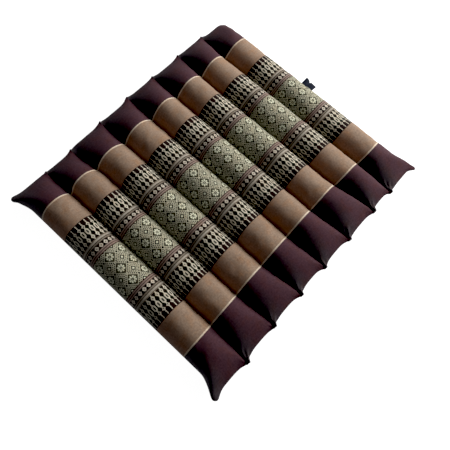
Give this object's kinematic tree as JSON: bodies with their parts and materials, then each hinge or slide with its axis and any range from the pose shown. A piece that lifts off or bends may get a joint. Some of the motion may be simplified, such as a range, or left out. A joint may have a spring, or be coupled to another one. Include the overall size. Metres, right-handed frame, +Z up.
{
  "type": "meditation cushion",
  "caption": "Flat quilted floor cushion: one filled cover sewn into parallel tubes, with drawn-in ends, knotted seam ends, corner ears and a small side tab.",
  "frame": {"origin": "centre of the whole part's box, on the surface that the cushion lies on", "axes": "+X runs across the filled tubes towards the side with the tab, +Y runs along the tubes, +Z is up"},
  "size_m": [0.5286, 0.4614, 0.0441],
  "materials": {
    "banded_cloth": "woven cotton, matt",
    "black_tape": "woven tape, matt"
  },
  "bodies": {
    "root": {"cushion": "banded_cloth", "label": "black_tape"}
  },
  "joints": []
}
